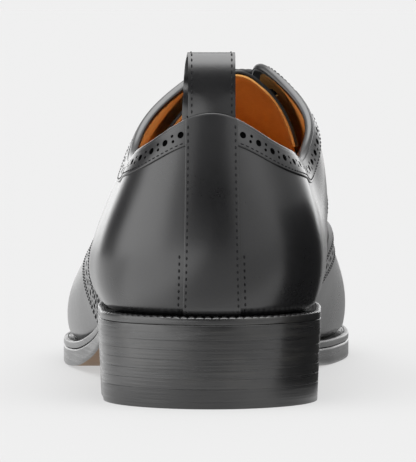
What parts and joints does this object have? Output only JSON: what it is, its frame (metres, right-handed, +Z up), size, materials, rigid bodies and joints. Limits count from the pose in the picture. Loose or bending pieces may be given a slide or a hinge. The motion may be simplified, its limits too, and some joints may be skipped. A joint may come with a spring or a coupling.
{
  "type": "wingtip derby shoe",
  "caption": "Left leather derby shoe with a wingtip toe cap, brogued collar, back strap and pull loop, on a welted sole with a stacked heel, hollow inside.",
  "frame": {"origin": "middle of the heel's flat bottom, on the floor", "axes": "+Y from heel to toe, +Z up, +X to the medial side of this left shoe"},
  "size_m": [0.1032, 0.304, 0.1135],
  "materials": {
    "black_calf": "smooth black calf with a soft polish",
    "tan_lining": "plain tan lining leather",
    "inked_edge": "sole leather inked black and burnished at its edges",
    "heel_rubber": "dull black rubber",
    "waxed_lace": "round waxed cotton"
  },
  "bodies": {
    "root": {"outsole": "inked_edge", "welt": "inked_edge", "insole": "tan_lining", "heel_top_piece": "heel_rubber", "heel_lift_1": "inked_edge", "heel_lift_2": "inked_edge", "heel_lift_3": "inked_edge", "heel_lift_4": "inked_edge", "heel_lift_5": "inked_edge", "upper": "black_calf", "wingtip_cap": "black_calf", "tongue": "black_calf", "quarter_lateral": "black_calf", "quarter_medial": "black_calf", "collar_band_lateral": "black_calf", "collar_band_medial": "black_calf", "back_strap": "black_calf", "pull_loop": "black_calf", "lace": "waxed_lace"}
  },
  "joints": []
}
